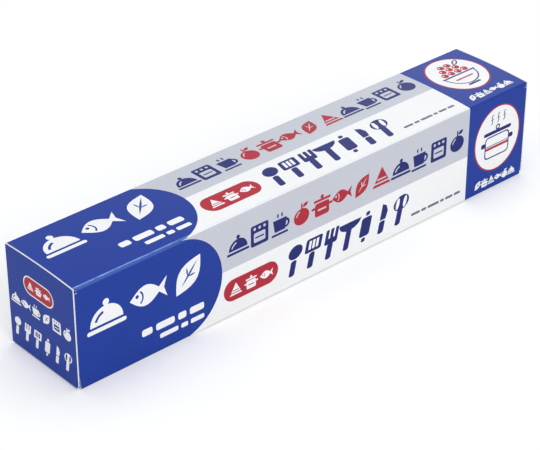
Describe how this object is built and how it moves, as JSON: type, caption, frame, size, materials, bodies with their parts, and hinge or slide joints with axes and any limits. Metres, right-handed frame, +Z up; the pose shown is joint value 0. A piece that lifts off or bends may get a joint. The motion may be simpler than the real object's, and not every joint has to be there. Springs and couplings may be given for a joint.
{
  "type": "aluminium foil roll",
  "caption": "Roll of kitchen foil on a paper core in its long dispenser carton, with a hinged lid and a toothed steel cutting strip behind the lid's front flap.",
  "frame": {"origin": "on the ground, under the middle of the closed carton", "axes": "+X along the carton towards its right end, +Y towards its hinged back, +Z up"},
  "size_m": [0.31, 0.054, 0.0587],
  "materials": {
    "printed_board": "glossy print on white-lined board",
    "lid_board": "glossy print on white-lined board",
    "blade_steel": "bright rolled strip",
    "core_paper": "spiral-wound kraft paper",
    "foil": "bright rolled foil"
  },
  "bodies": {
    "tray": {"carton_tray": "printed_board", "cutter_blade": "blade_steel", "paper_core": "core_paper", "foil_roll": "foil"},
    "lid": {"carton_lid": "lid_board"}
  },
  "joints": [
    {"name": "lid_hinge", "type": "hinge", "parent": "tray", "child": "lid", "pos_m": [0, 0.0267, 0.0577], "axis": [-1, 0, 0], "range_deg": [0, 180]}
  ]
}
